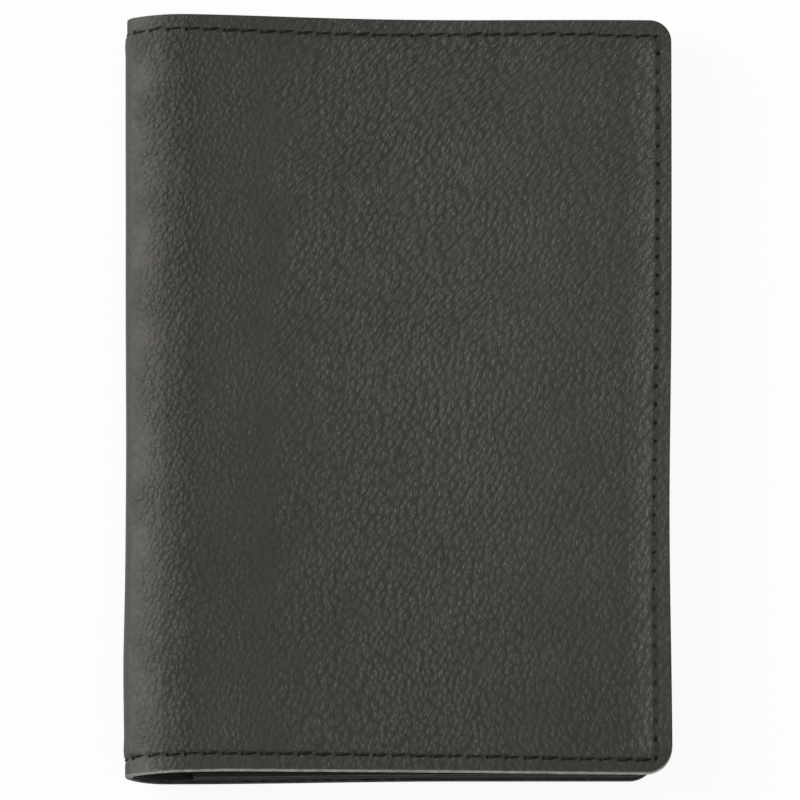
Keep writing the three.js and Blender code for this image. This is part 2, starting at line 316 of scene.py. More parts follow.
def leather_relief(s, y):
    """Height of the grain face over the plain path, and three marks on it. The cut edge is rounded off, the
    thread has drawn a groove, each needle hole is a dimple in it, the hem outside is pressed thinner, most of
    all round the fold's top, and the leather swells beside the seam. The side bank, slow waves and, at the
    fold, creases along it are added. The marks are the needle holes, the share of the hem's press and the rim
    along the lower edge, where the finish is rubbed off."""
    end = np.sign(y)
    to_edge = edge_distance(s, y)
    over_side, over_end = past_seams(s, y)
    past_both = np.hypot(np.maximum(over_side, 0), np.maximum(over_end, 0))
    outside = past_both + np.minimum(np.maximum(over_side, over_end), 0)
    by_side = over_side > over_end
    round_tip = bell(s - fold_middle, tip_seam_spread)
    groove_depth = np.where(by_side, side_groove_depth, end_groove_depth + tip_groove_extra * round_tip)
    groove = groove_depth * bell(outside, np.where(by_side, side_groove_width, end_groove_width))
    pressed = ease(outside / hem_step)
    hem = (hem_press + tip_hem_extra * round_tip * (end > 0)) * pressed
    needle = needle_holes(s, y, over_side, over_end)
    lowered = rounded_off(to_edge, edge_round) + groove + hem + hole_depth * needle

    swell = swell_height * bell(over_end + swell_inset, swell_width) * (over_side < 0)
    waves = wave_height * soft_noise(s / wave_lengths[0], y / wave_lengths[1], 3)
    waves = waves * ease((to_edge - wave_inset) / wave_fade)
    creased = bell(s - crease_middle, crease_spread)
    creased = creased * ease((half_height - np.abs(y) - crease_inset) / crease_fade)
    creases = soft_noise(s / crease_width - y / crease_slant_run, y / crease_length, 5)
    raised = waves + crease_height * creased * creases + swell + side_bank(s, over_side, over_end)

    on_front = ease((s - arc_ends[1] + rub_start) / (2 * rub_start))
    at_end = np.abs(y) - half_height + corner_radius_at(y) > 0
    rubbed = (1 - ease((to_edge - rub_width) / rub_fade)) * on_front * at_end * (end < 0)
    return raised - lowered, {"needle": needle, "pressed": pressed, "rubbed": rubbed}


def build_mesh(name, points, faces, materials, uv, face_materials=None, marks=None):
    """A smooth-shaded mesh object at the origin from points, faces, a flat position for each point and, where
    given, named marks for each point."""
    mesh = bpy.data.meshes.new(name)
    mesh.from_pydata(np.asarray(points, float).reshape(-1, 3), [], faces)
    mesh.polygons.foreach_set("use_smooth", np.ones(len(mesh.polygons), bool))
    if face_materials is not None:
        mesh.polygons.foreach_set("material_index", np.asarray(face_materials, np.int32))
    corner = np.zeros(len(mesh.loops), np.int32)
    mesh.loops.foreach_get("vertex_index", corner)
    unrolled = mesh.uv_layers.new(name="unrolled")
    unrolled.data.foreach_set("uv", np.asarray(uv, np.float32).reshape(-1, 2)[corner].ravel())
    for mark, values in (marks or {}).items():
        attribute = mesh.attributes.new(mark, "FLOAT", "POINT")
        attribute.data.foreach_set("value", values.astype(np.float32).ravel())
    for material in materials:
        mesh.materials.append(material)
    mesh.set_sharp_from_angle(angle=math.radians(50))
    mesh.update()
    piece = bpy.data.objects.new(name, mesh)
    bpy.context.scene.collection.objects.link(piece)
    return piece


def layer(name, outer, inner, uv, materials, ring=False, marks=None):
    """A closed sheet between two grids of points of one size: the outer grid, the inner one turned over, and
    walls between their rims. In a ring the last row of points joins the first. The materials are those of the
    outer face, the cut wall and the inner face. Marks are for the outer face and are 0 on the inner one."""
    rows, across = outer.shape[:2]
    size = rows * across
    number = np.arange(size).reshape(rows, across)
    if ring:
        number = np.concatenate([number, number[:1]])
        rims = [number[:, 0], number[::-1, -1]]
    else:
        rims = [np.concatenate([number[:-1, 0], number[-1, :-1], number[:0:-1, -1], number[0, ::-1]])]
    corners = [number[:-1, :-1], number[1:, :-1], number[1:, 1:], number[:-1, 1:]]
    face = np.stack(corners, axis=-1).reshape(-1, 4)
    here = np.concatenate([rim[:-1] for rim in rims])
    beside = np.concatenate([rim[1:] for rim in rims])
    wall = np.stack([here, here + size, beside + size, beside], axis=-1)
    faces = np.concatenate([face, wall, face[:, ::-1] + size]).tolist()
    face_materials = np.repeat([0, 1, 2], [len(face), len(wall), len(face)])
    points = np.concatenate([outer.reshape(-1, 3), inner.reshape(-1, 3)])
    both_uv = np.concatenate([uv.reshape(-1, 2), uv.reshape(-1, 2)])
    both_marks = {}
    for mark, value in (marks or {}).items():
        both_marks[mark] = np.concatenate([value.ravel(), 0 * value.ravel()])
    return build_mesh(name, points, faces, materials, both_uv, face_materials, both_marks)


flat_span = front_end - back_end


def flat_uv(s, y):
    """The place on the leather before it was folded, as shares of its whole length."""
    return np.stack([(s - back_end) / flat_span, (y + half_height) / flat_span], axis=-1)


def towards_edge(low, high, fine_step, edge_band, edge_steps):
    """Distances from low to high: even fine steps and, at the very edge, steps that shorten as a sine."""
    edge_start = high - edge_band
    fine = np.linspace(low, edge_start, round((edge_start - low) / fine_step), endpoint=False)
    edge = edge_start + edge_band * np.sin(np.linspace(0, math.pi / 2, edge_steps))
    return np.concatenate([fine, edge])


def on_holes(low, high, first_hole, step):
    """Low, and then the distances before high that are whole steps from the first needle hole. The step is a
    whole part of the pitch, so every hole gets a point of its own."""
    least_step = 0.3
    first = math.ceil((low - first_hole) / step + least_step)
    last = math.floor((high - first_hole) / step - least_step)
    return np.concatenate([[low], first_hole + step * np.arange(first, last + 1)])


seam_band = 4.4 * mm
hem_band = 5 * mm
seam_step = 0.19 * mm


def cover_columns(low, high, first_hole):
    """Distances from the fold, at low, to a cover's free edge, at high."""
    seam_start = high - seam_band
    holes = on_holes(low, seam_start, first_hole, stitch_pitch / 6)
    return np.concatenate([holes, towards_edge(seam_start, high, seam_step, 0.5 * mm, 9)])


hem_start = half_height - hem_band
side_holes = on_holes(0, hem_start, seam_inset - half_height, side_pitch / 5)
half_rows = np.concatenate([side_holes, towards_edge(hem_start, half_height, seam_step, 0.4 * mm, 7)])
leather_rows = np.concatenate([-half_rows[:0:-1], half_rows]) / half_height
front_columns = cover_columns(arc_ends[-1], front_end, seam_low)
back_columns = -cover_columns(0, -back_end, -seam_low)[::-1]


def case_grid(columns, rows, inset=0.0):
    """Grid of path distances and heights: rows, as shares of the height, that shorten round the free corners
    of the case's outline, or of that outline drawn in by the inset."""
    s, share = np.meshgrid(columns, rows, indexing="ij")
    radius = corner_radius_at(share) - inset
    into_corner = np.clip(radius - np.minimum(front_end - inset - s, s - back_end - inset), 0, radius)
    return s, share * (half_height - inset - radius + np.sqrt(radius**2 - into_corner**2))


def shade(tree, kind, sockets=(), **settings):
    """A shader node with its settings. Sockets are pairs of a name or number and a value or an output."""
    node = tree.nodes.new(kind)
    for name, value in settings.items():
        setattr(node, name, value)
    for name, value in dict(sockets).items():
        if isinstance(value, bpy.types.NodeSocket):
            tree.links.new(value, node.inputs[name])
        else:
            node.inputs[name].default_value = value
    return node


def calc(tree, operation, *values):
    """Output of a Math node on these values."""
    return shade(tree, "ShaderNodeMath", enumerate(values), operation=operation).outputs[0]


def vector_calc(tree, operation, *vectors):
    """The vector that a Vector Math node makes of these vectors."""
    return shade(tree, "ShaderNodeVectorMath", enumerate(vectors), operation=operation).outputs[0]


def vector_value(tree, operation, *vectors):
    """The number that a Vector Math node makes of these vectors."""
    return shade(tree, "ShaderNodeVectorMath", enumerate(vectors), operation=operation).outputs["Value"]


def split(tree, vector):
    """The first two parts of a vector."""
    return shade(tree, "ShaderNodeSeparateXYZ", {"Vector": vector}).outputs[:2]


def join(tree, first, second):
    """A vector with these first two parts."""
    return shade(tree, "ShaderNodeCombineXYZ", {0: first, 1: second}).outputs[0]


def ramp(tree, value, low, high, low_out=0.0, high_out=1.0):
    """A value eased from low_out to high_out as it goes from low to high."""
    sockets = {"Value": value, "From Min": low, "From Max": high, "To Min": low_out, "To Max": high_out}
    return shade(tree, "ShaderNodeMapRange", sockets, interpolation_type="SMOOTHSTEP").outputs["Result"]


def mix(tree, share, first, second):
    """The first value where share is 0, the second where it is 1."""
    return shade(tree, "ShaderNodeMix", {"Factor": share, 2: first, 3: second}).outputs[0]


def tint(tree, share, first, second, **settings):
    """The first colour where share is 0, the second where it is 1. A colour is three numbers or an output."""
    sockets = {"Factor": share}
    for number, colour in ((6, first), (7, second)):
        sockets[number] = colour if isinstance(colour, bpy.types.NodeSocket) else (*colour, 1)
    return shade(tree, "ShaderNodeMix", sockets, data_type="RGBA", **settings).outputs[2]


def noise(tree, place, scale, detail, **settings):
    """Outputs of a Noise node at that place, with its features about one over scale across."""
    sockets = {"Vector": place, "Scale": scale, "Detail": detail}
    return shade(tree, "ShaderNodeTexNoise", sockets, **settings).outputs


def flat_noise(tree, place, scale, detail):
    """Noise on a plane, as a number from about 0 to 1."""
    return noise(tree, place, scale, detail, noise_dimensions="2D")[0]


def lobes(tree, place, scale, randomness, smoothness):
    """Distance to the middle of the nearest lobe: soft cells on a plane, about one over scale across."""
    sockets = {"Vector": place, "Scale": scale, "Randomness": randomness, "Smoothness": smoothness}
    cells = shade(tree, "ShaderNodeTexVoronoi", sockets, voronoi_dimensions="2D", feature="SMOOTH_F1")
    return cells.outputs["Distance"]


def new_material(name):
    """An empty node material and its tree."""
    material = bpy.data.materials.new(name)
    material.use_nodes = True
    material.node_tree.nodes.clear()
    return material, material.node_tree


def finish_material(tree, sockets, height, depth):
    """The surface: a principled shader with these sockets, bumped by a height whose full range is so deep."""
    bump = shade(tree, "ShaderNodeBump", {"Height": height, "Distance": depth, "Strength": 1.0})
    surface = shade(tree, "ShaderNodeBsdfPrincipled", {**sockets, "Normal": bump.outputs[0]})
    shade(tree, "ShaderNodeOutputMaterial", {"Surface": surface.outputs[0]})


def unrolled_uv(tree):
    """The mesh's flat position as it is stored."""
    return shade(tree, "ShaderNodeUVMap", uv_map="unrolled").outputs[0]


def flat_place(tree):
    """Place on the unrolled leather in millimetres."""
    return vector_calc(tree, "MULTIPLY", unrolled_uv(tree), (flat_span / mm, flat_span / mm, 0))


def mark_value(tree, mark):
    """A mark of the mesh as a number."""
    return shade(tree, "ShaderNodeAttribute", attribute_name=mark).outputs["Fac"]


# The grain is laid out in millimetres on the unrolled leather.
step_down = np.array([0.67, -0.58])
step_up = np.array([0.52, 0.94])
lobe_height = 1.25
lobe_fall = -1.15
lobe_power = 1.5
folds_per_mm = (1.5, 1.2, 0)
fold_share = 0.5
rough_per_mm = (4.6, 4.0, 0)
rough_share = 0.65
fill_softness = 0.2


def grain_height(tree, place, size, floor, lean, lean_growth):
    """Height of a pebble grain: soft lobes of that size on broader folds, roughened by finer ones, with the
    hollows between them filled up to the floor. From each lobe the next ones lie one step down and one step
    up the hide, both to the right, so that the lobes climb in slanting rows. They lean over by lean at the
    middle of the case and by lean_growth more for each millimetre above it."""
    along, up = split(tree, place)
    height = calc(tree, "SUBTRACT", up, half_height / mm)
    slant = calc(tree, "MULTIPLY_ADD", height, lean_growth, lean)
    upright = calc(tree, "SUBTRACT", along, calc(tree, "MULTIPLY", slant, height))
    leaning = join(tree, upright, up)
    to_steps = np.linalg.inv(np.transpose([step_down * size, step_up * size]))
    steps = [vector_value(tree, "DOT_PRODUCT", leaning, (*row, 0)) for row in to_steps]
    from_middle = lobes(tree, join(tree, *steps), 1.0, 0.75, 0.3)
    lobe = calc(tree, "MULTIPLY_ADD", calc(tree, "POWER", from_middle, lobe_power), lobe_fall, lobe_height)
    folds = flat_noise(tree, vector_calc(tree, "MULTIPLY", leaning, folds_per_mm), 1.0, 1.0)
    rough = flat_noise(tree, vector_calc(tree, "MULTIPLY", leaning, rough_per_mm), 1.0, 1.0)
    folded = calc(tree, "MULTIPLY_ADD", folds, fold_share, lobe)
    roughened = calc(tree, "MULTIPLY_ADD", rough, rough_share, folded)
    return calc(tree, "SMOOTH_MAX", roughened, floor, fill_softness)


def pebble_grain(tree, place, on_cover):
    """Height of the whole hide's grain: lobes that stand upright beside the fold and larger ones that lean
    over on the covers, warped by broad and by fine noise so that no two are alike."""
    broad = noise(tree, place, 0.05, 1.0, noise_dimensions="2D")["Color"]
    fine = noise(tree, place, 0.7, 2.0, noise_dimensions="2D")["Color"]
    swirl = vector_calc(tree, "MULTIPLY_ADD", broad, (2.4, 2.4, 0), place)
    warped = vector_calc(tree, "MULTIPLY_ADD", fine, (0.45, 0.45, 0), swirl)
    beside_fold = grain_height(tree, warped, size=0.93, floor=1.28, lean=0.0, lean_growth=0.0006)
    over_cover = grain_height(tree, warped, size=1.05, floor=1.13, lean=0.2, lean_growth=0.0026)
    return mix(tree, on_cover, beside_fold, over_cover)


def mottled(tree, place):
    """Noise about a millimetre across, for fibre that is paler in one place than in the next."""
    return flat_noise(tree, place, 0.8, 3.0)


def changing(tree, value, distance, changes):
    """The value with each change added, eased in between the two distances that come before the change."""
    for first, last, change in changes:
        value = calc(tree, "ADD", value, ramp(tree, distance, first, last, 0.0, change))
    return value


# Each change of the grain or of the lightness is two distances from the fold's tip, in millimetres, and what
# is added between them.
flat_tip = (arc_ends[1:3].mean() - back_end) / mm
# Middle of a painted pool of light on the front cover, above and to the right of its middle: the leather is
# painted paler and warmer round it.
lit_middle = (((arc_ends[-1] + front_end) / 2 - back_end) / mm + 6, half_height / mm + 14, 0)
tip_grain = 0.25
grain_changes = [(1.8, 5.2, 1.85), (9.0, 13.0, -1.29), (16.0, 40.0, 0.49), (50.0, 66.0, -0.43)]
grain_depth = 0.19 * mm
grain_tops = (1.15, 1.95)
plain_lightness = 0.34
# The lightness changes are painted light: a painted highlight over the fold, strongest on its lit flank from
# 1.8 to 4.8 mm off the tip and gone by 14 mm, and a little painted shade from 50 to 70 mm.
painted_light_changes = [(1.8, 4.8, 0.86), (6.0, 7.4, -0.58), (9.0, 14.0, -0.54), (50.0, 70.0, -0.09)]
deep_colour = (0.0240, 0.0268, 0.0220)
face_colour = (0.0545, 0.0556, 0.0465)
rim_colour = (0.36, 0.355, 0.325)
# Near black needle holes: painted shade down each hole, where the black thread also goes in.
hole_shade_colour = (0.002, 0.002, 0.002)
# Casts of painted light: greener in shade, warmer where lit.
shade_cast = (0.962, 1.045, 0.985)
lit_cast = (1.0, 0.955, 0.97)


def pebble_leather(name):
    """Hide with a pebble grain, nearly flat at the fold's tip and strongest on the fold's flanks. On the
    covers it is stronger towards the middle and the top. The hollows between the lobes are darker and duller
    than their tops, which are polished on the covers; the darker hollows and paler tops are partly dye
    gathered in the hollows and partly painted shade and painted highlight. The dye is mottled. Painted light
    makes the fold's lit flank paler, the cover paler round a lit middle, and the lit parts warmer and the
    shaded ones greener. The rim has its own colour, and the needle holes are near black, as painted shade."""
    material, tree = new_material(name)
    place = flat_place(tree)
    along, up = split(tree, place)
    from_tip = calc(tree, "ABSOLUTE", calc(tree, "SUBTRACT", along, flat_tip))
    mottle = flat_noise(tree, place, 0.16, 2.0)
    ragged = calc(tree, "MULTIPLY_ADD", mottle, 8.0, from_tip)
    grain = pebble_grain(tree, place, ramp(tree, ragged, 22.0, 30.0))
    wavering = calc(tree, "MULTIPLY_ADD", calc(tree, "SUBTRACT", mottle, 0.5), 3.0, from_tip)
    rounder = changing(tree, tip_grain, wavering, grain_changes)
    upward = ramp(tree, up, 0.0, 2 * half_height / mm, 0.8, 1.2)
    patchy = calc(tree, "MULTIPLY", upward, ramp(tree, mottle, 0.3, 0.7, 0.8, 1.1))
    pressed = mark_value(tree, "pressed")
    strength = calc(tree, "MULTIPLY", patchy, ramp(tree, pressed, 0.0, 1.0, 1.0, 0.7))
    relief = calc(tree, "MULTIPLY", calc(tree, "MULTIPLY", rounder, strength), grain)

    # Paler lobe tops and darker hollows: partly dye gathered in the hollows, partly painted shade in them and
    # painted highlight on the tops.
    top = ramp(tree, grain, *grain_tops)
    raised = calc(tree, "MULTIPLY", calc(tree, "SUBTRACT", top, 0.5), calc(tree, "MULTIPLY", rounder, 0.42))
    from_lit_middle = vector_value(tree, "LENGTH", vector_calc(tree, "SUBTRACT", place, lit_middle))
    tone = calc(tree, "MULTIPLY_ADD", flat_noise(tree, place, 0.11, 2.0), 0.35, plain_lightness)
    lightness = calc(tree, "ADD", tone, raised)
    # Painted pool of light: paler towards the lit middle of the front cover.
    lightness = calc(tree, "ADD", lightness, ramp(tree, from_lit_middle, 5.0, 70.0, 0.25, 0.0))
    lightness = calc(tree, "MULTIPLY_ADD", pressed, 0.03, lightness)
    lightness = changing(tree, lightness, from_tip, painted_light_changes)
    # Painted light: a warmer cast where the light is strongest, on the fold's flank and round the lit middle,
    # and on the pressed hem; a greener cast elsewhere, as in shade.
    lit_fold = ramp(tree, from_tip, 4.0, 13.0, 1.0, 0.0)
    lit_and_pressed = calc(tree, "ADD", lit_fold, ramp(tree, from_lit_middle, 8.0, 60.0, 0.5, 0.0))
    lit_and_pressed = calc(tree, "MULTIPLY_ADD", pressed, 0.4, lit_and_pressed)
    cast = tint(tree, calc(tree, "MINIMUM", lit_and_pressed, 1.0), shade_cast, lit_cast)
    dye = tint(tree, lightness, deep_colour, face_colour, clamp_factor=False)
    colour = vector_calc(tree, "MULTIPLY", dye, cast)
    bare = ramp(tree, mottled(tree, place), 0.3, 0.6, 0.55, 1.0)
    colour = tint(tree, calc(tree, "MULTIPLY", mark_value(tree, "rubbed"), bare), colour, rim_colour)
    # Needle holes near black: painted shade down each hole, where the black thread also goes in.
    needle = ramp(tree, mark_value(tree, "needle"), 0.2, 0.8)
    colour = tint(tree, needle, colour, hole_shade_colour)

    polish = ramp(tree, from_tip, 8.0, 16.0)
    roughness = calc(tree, "MULTIPLY_ADD", top, ramp(tree, polish, 0.0, 1.0, -0.1, -0.2), 0.6)
    sheen = ramp(tree, needle, 0.0, 1.0, 1.0, 0.5)
    specular = calc(tree, "MULTIPLY", ramp(tree, polish, 0.0, 1.0, 0.27, 0.4), sheen)
    leather = {"Base Color": colour, "Roughness": roughness, "Specular IOR Level": specular}
    finish_material(tree, leather, relief, grain_depth)
    return material


def object_place(tree):
    """Place in the piece's own space."""
    return shade(tree, "ShaderNodeTexCoord").outputs["Object"]


def loose_fibre(tree):
    """The height of fine fibre, and how much of it is loose, in tufts about a millimetre across."""
    place = object_place(tree)
    fibre = noise(tree, place, 2.5 / mm, 4.0)[0]
    tufts = noise(tree, place, 0.8 / mm, 3.0)[0]
    return fibre, calc(tree, "MULTIPLY_ADD", tufts, 2.2, calc(tree, "SUBTRACT", fibre, 1.1))


deep_fibre = (0.006, 0.006, 0.005)


def cut_edge(name):
    """Raw cut through the leather: pale loose fibre, painted darker towards the back cover as the shade on
    the back cover's edge.
    """
    material, tree = new_material(name)
    fibre, loose = loose_fibre(tree)
    along = split(tree, flat_place(tree))[0]
    # Painted shade: the fibre darkens towards the back cover.
    unshaded = ramp(tree, along, (arc_ends[1] - back_end) / mm - 2, (arc_ends[2] - back_end) / mm + 2)
    shaded_fibre = tint(tree, loose, deep_fibre, (0.10, 0.10, 0.092))
    light = tint(tree, loose, (0.24, 0.24, 0.217), (0.60, 0.59, 0.54))
    raw = {"Base Color": tint(tree, unshaded, shaded_fibre, light), "Roughness": 0.9, "Specular IOR Level": 0.2}
    finish_material(tree, raw, fibre, 0.12 * mm)
    return material


def flesh_side(name):
    """The hide's inner face: dark nap, paler where it is loose."""
    material, tree = new_material(name)
    fibre, loose = loose_fibre(tree)
    colour = tint(tree, loose, deep_fibre, (0.085, 0.085, 0.078))
    finish_material(tree, {"Base Color": colour, "Roughness": 0.95}, fibre, 0.1 * mm)
    return material


flesh = flesh_side("flesh_side")
leather_faces = [pebble_leather("pebble_leather"), cut_edge("cut_edge"), flesh]


def leather_piece(name, columns):
    """The leather from the first to the last of these path distances: grain face, cut wall, flesh side."""
    s, y = case_grid(columns, leather_rows)
    relief, marks = leather_relief(s, y)
    inner = on_case(s, y, np.full_like(s, -leather_thick))
    piece = layer(name, on_case(s, y, relief), inner, flat_uv(s, y), leather_faces, marks=marks)
    return piece


back_leather = leather_piece("back_leather", back_columns)
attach(back_leather, "back_half")
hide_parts("back_cover")
front_leather = leather_piece("front_leather", front_columns)
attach(front_leather, "front_half")
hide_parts("front_cover")

# Fold of the outer leather: the same cut rolled round from one cover to the other, with nothing stiff in it.
# It bends on three lines, so it is three strips that share their edges.
fold_names = ["fold_back", "fold_tip", "fold_front"]
strip_steps = [34, 34, 44]


def bend(piece, index, depth):
    """Bakes the piece's place into its points. It works out where the arc of that index starts and ends at
    that depth, but nothing uses that.
    """
    ends = on_case(arc_ends[index : index + 2], np.zeros(2), np.full(2, -depth))
    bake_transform(piece)


def fold_columns(index, steps):
    """Even path distances over one of the fold's arcs."""
    return np.linspace(arc_ends[index], arc_ends[index + 1], steps + 1)


for index, name in enumerate(fold_names):
    strip = leather_piece(f"{name}_leather", fold_columns(index, strip_steps[index]))
    bend(strip, index, leather_thick)
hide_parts("spine_back_leather")
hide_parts("spine_front_leather")

# Lining: thin black cloth glued to the flesh side all over, also round the fold, and cut a little inside the
# leather's edge. Like the leather it is one cut on the real case. It shows in the fold and behind the window.
inner_inset = 0.3 * mm
lining_depths = (1.25 * mm, 1.5 * mm)
thread_width = 0.32


def thread_round(tree, across):
    """Height of threads side by side, each round across: a half wave of the sine for every thread."""
    return calc(tree, "ABSOLUTE", calc(tree, "SINE", calc(tree, "MULTIPLY", across, math.pi)))


def woven_cloth(name):
    """Plain weave: in every other cell the warp lies over the weft, each thread round across and bowed
    along."""
    material, tree = new_material(name)
    place = flat_place(tree)
    cell = vector_calc(tree, "MULTIPLY", place, (1 / thread_width, 1 / thread_width, 0))
    along, up = split(tree, cell)
    whole = calc(tree, "ADD", calc(tree, "FLOOR", along), calc(tree, "FLOOR", up))
    over = calc(tree, "FLOORED_MODULO", whole, 2.0)
    warp = thread_round(tree, along)
    weft = thread_round(tree, up)
    warp_over = calc(tree, "MULTIPLY", warp, calc(tree, "SQRT", weft))
    weft_over = calc(tree, "MULTIPLY", weft, calc(tree, "SQRT", warp))
    height = mix(tree, over, warp_over, weft_over)
    slub = flat_noise(tree, place, 1.3, 3.0)
    share = calc(tree, "MULTIPLY_ADD", slub, 0.5, calc(tree, "MULTIPLY", height, 0.5))
    colour = tint(tree, share, (0.006, 0.006, 0.0065), (0.030, 0.030, 0.031))
    finish_material(tree, {"Base Color": colour, "Roughness": 0.85, "Sheen Weight": 0.15}, height, 0.08 * mm)
    return material


lining_cloth = woven_cloth("lining_cloth")
lining_rows = np.linspace(-1, 1, 61)


def lining_piece(name, columns):
    """The cloth between the first and the last of these path distances."""
    s, y = case_grid(columns, lining_rows, inner_inset)
    outer, inner = (on_case(s, y, np.full_like(s, -depth)) for depth in lining_depths)
    return layer(name, outer, inner, flat_uv(s, y), [lining_cloth] * 3)


lining_end = front_end - inner_inset


def cloth_columns(low, high):
    """Distances from the fold, at low, to the cloth's free edge, at high."""
    plain = np.linspace(low, high - seam_band, 56, endpoint=False)
    return np.concatenate([plain, towards_edge(high - seam_band, high, 0.5 * mm, 0.5 * mm, 6)])


front_cloth_columns = cloth_columns(arc_ends[-1], lining_end)
back_cloth_columns = -cloth_columns(0, -back_end - inner_inset)[::-1]
for index, name in enumerate(fold_names):
    strip = lining_piece(f"{name}_cloth", fold_columns(index, 16))
    bend(strip, index, lining_depths[1])
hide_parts("spine_back_lining")
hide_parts("spine_front_lining")
back_cloth = lining_piece("back_cloth", back_cloth_columns)
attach(back_cloth, "back_half")
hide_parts("back_lining")
front_cloth = lining_piece("front_cloth", front_cloth_columns)
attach(front_cloth, "front_half")
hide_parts("front_lining")

# Pocket welt: a U of bonded leather board between the back lining and the window. It is glued down and
# caught in the edge seam, and its thickness is the room that a badge card slides into from the fold side.
welt_depths = (1.55 * mm, 2.35 * mm)
pocket_mouth = -4.0 * mm
welt_width = 4.5 * mm
side_points = {"top": 56, "free": 90, "bottom": 56, "fold": 90}
corner_points = 10


def pocket_outline(low, high, half, low_radius, high_radius):
    """Points (path distance, height) once round a box with rounded corners, from the top of its fold side and
    along the top first. Every outline has as many points on each side and corner, so two of them match."""
    even = {side: np.linspace(0, 1, count, endpoint=False) for side, count in side_points.items()}
    turn = np.linspace(0, math.pi / 2, corner_points, endpoint=False)
    low_in = low + low_radius
    high_in = high - high_radius
    low_half = half - low_radius
    high_half = half - high_radius
    pieces = [
        (high_in + (low_in - high_in) * even["top"], half + 0 * even["top"]),
        (low_in - low_radius * np.sin(turn), low_half + low_radius * np.cos(turn)),
        (low + 0 * even["free"], low_half * (1 - 2 * even["free"])),
        (low_in - low_radius * np.cos(turn), -low_half - low_radius * np.sin(turn)),
        (low_in + (high_in - low_in) * even["bottom"], -half + 0 * even["bottom"]),
        (high_in + high_radius * np.sin(turn), -high_half - high_radius * np.cos(turn)),
        (high + 0 * even["fold"], high_half * (2 * even["fold"] - 1)),
        (high_in + high_radius * np.cos(turn), high_half + high_radius * np.sin(turn)),
    ]
    return np.concatenate([np.stack(piece, axis=-1) for piece in pieces])


def leather_board(name):
    """Board of ground leather pressed with glue: dark, with paler shreds lying every way."""
    material, tree = new_material(name)
    shreds = noise(tree, object_place(tree), 1.6 / mm, 4.0, noise_type="RIDGED_MULTIFRACTAL")[0]
    colour = tint(tree, ramp(tree, shreds, 0.3, 1.2), (0.007, 0.007, 0.007), (0.055, 0.052, 0.047))
    finish_material(tree, {"Base Color": colour, "Roughness": 0.8}, shreds, 0.05 * mm)
    return material


outline_radius = corner_radius - inner_inset
welt_inner_radius = 0.6 * mm


def welt_outline(inset, radius):
    """The welt's outline drawn in by the inset on three sides, with free corners of that radius."""
    return pocket_outline(back_end + inset, pocket_mouth, half_height - inset, radius, 0)


u_points = side_points["top"] + side_points["free"] + side_points["bottom"] + 2 * corner_points + 1
welt_outer = welt_outline(inner_inset, outline_radius)
welt_inner = welt_outline(inner_inset + welt_width, welt_inner_radius)
across = np.linspace(0, 1, 5)[None, :, None]
band = (welt_outer[:, None] * (1 - across) + welt_inner[:, None] * across)[:u_points]
s, y = band[..., 0], band[..., 1]
board = leather_board("leather_board")
welt_faces = [on_case(s, y, np.full_like(s, -depth)) for depth in welt_depths]
pocket_welt = layer("pocket_welt", *welt_faces, flat_uv(s, y), [board] * 3)
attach(pocket_welt, "back_half")
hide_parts("badge_pocket_welt")

# Badge window: a sheet of clear flexible film, die cut and sewn behind the window frame. It lies slack in the
# opening and has the fine scratches of cards slid behind it.
film_depths = (2.4 * mm, 2.6 * mm)
film_span = (-64.4 * mm, -9.2 * mm)
film_half = 47.8 * mm
window_span = (-61.6 * mm, -12.0 * mm)
window_half = 45.0 * mm
slack_rise = 0.22 * mm
slack_waves = 0.13 * mm
slack_fade = 9 * mm


def clear_film(name):
    """Clear film: see-through and glossy, with hair scratches along the way that cards slide."""
    material, tree = new_material(name)
    drawn_out = vector_calc(tree, "MULTIPLY", flat_place(tree), (0.15, 6.0, 0))
    scratches = flat_noise(tree, drawn_out, 1.0, 3.0)
    roughness = ramp(tree, scratches, 0.45, 0.75, 0.04, 0.16)
    clear = {"Base Color": (0.93, 0.95, 0.95, 1), "Transmission Weight": 0.985, "IOR": 1.46}
    finish_material(tree, {**clear, "Roughness": roughness}, scratches, 0.01 * mm)
    return material


s, y = np.meshgrid(np.linspace(*film_span, 70), np.linspace(-film_half, film_half, 120), indexing="ij")
from_side = np.minimum(s - window_span[0], window_span[1] - s)
in_window = ease(np.minimum(from_side, window_half - np.abs(y)) / slack_fade)
slack = in_window * (slack_rise + slack_waves * soft_noise(s / (15 * mm), y / (21 * mm), 8))
film_faces = [on_case(s, y, slack - depth) for depth in film_depths]
window_film = layer("window_film", *film_faces, flat_uv(s, y), [clear_film("clear_film")] * 3)
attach(window_film, "back_half")
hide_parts("badge_window_film")

# Window frame: thin smooth leather with the window cut out of it, sewn to the film round the opening and to
# the back cover by the edge seam. Its fold side is open, so that a card can be slid in behind the film.
frame_depths = (2.65 * mm, 3.15 * mm)
window_radius = 3.0 * mm
window_seam = 1.4 * mm
edge_seam = seam_inset - inner_inset
frame_fold_radius = 0.4 * mm
least_radius = 0.3 * mm
calf_edge_round = 0.12 * mm
calf_groove_depth = 0.12 * mm
calf_groove_width = 0.3 * mm


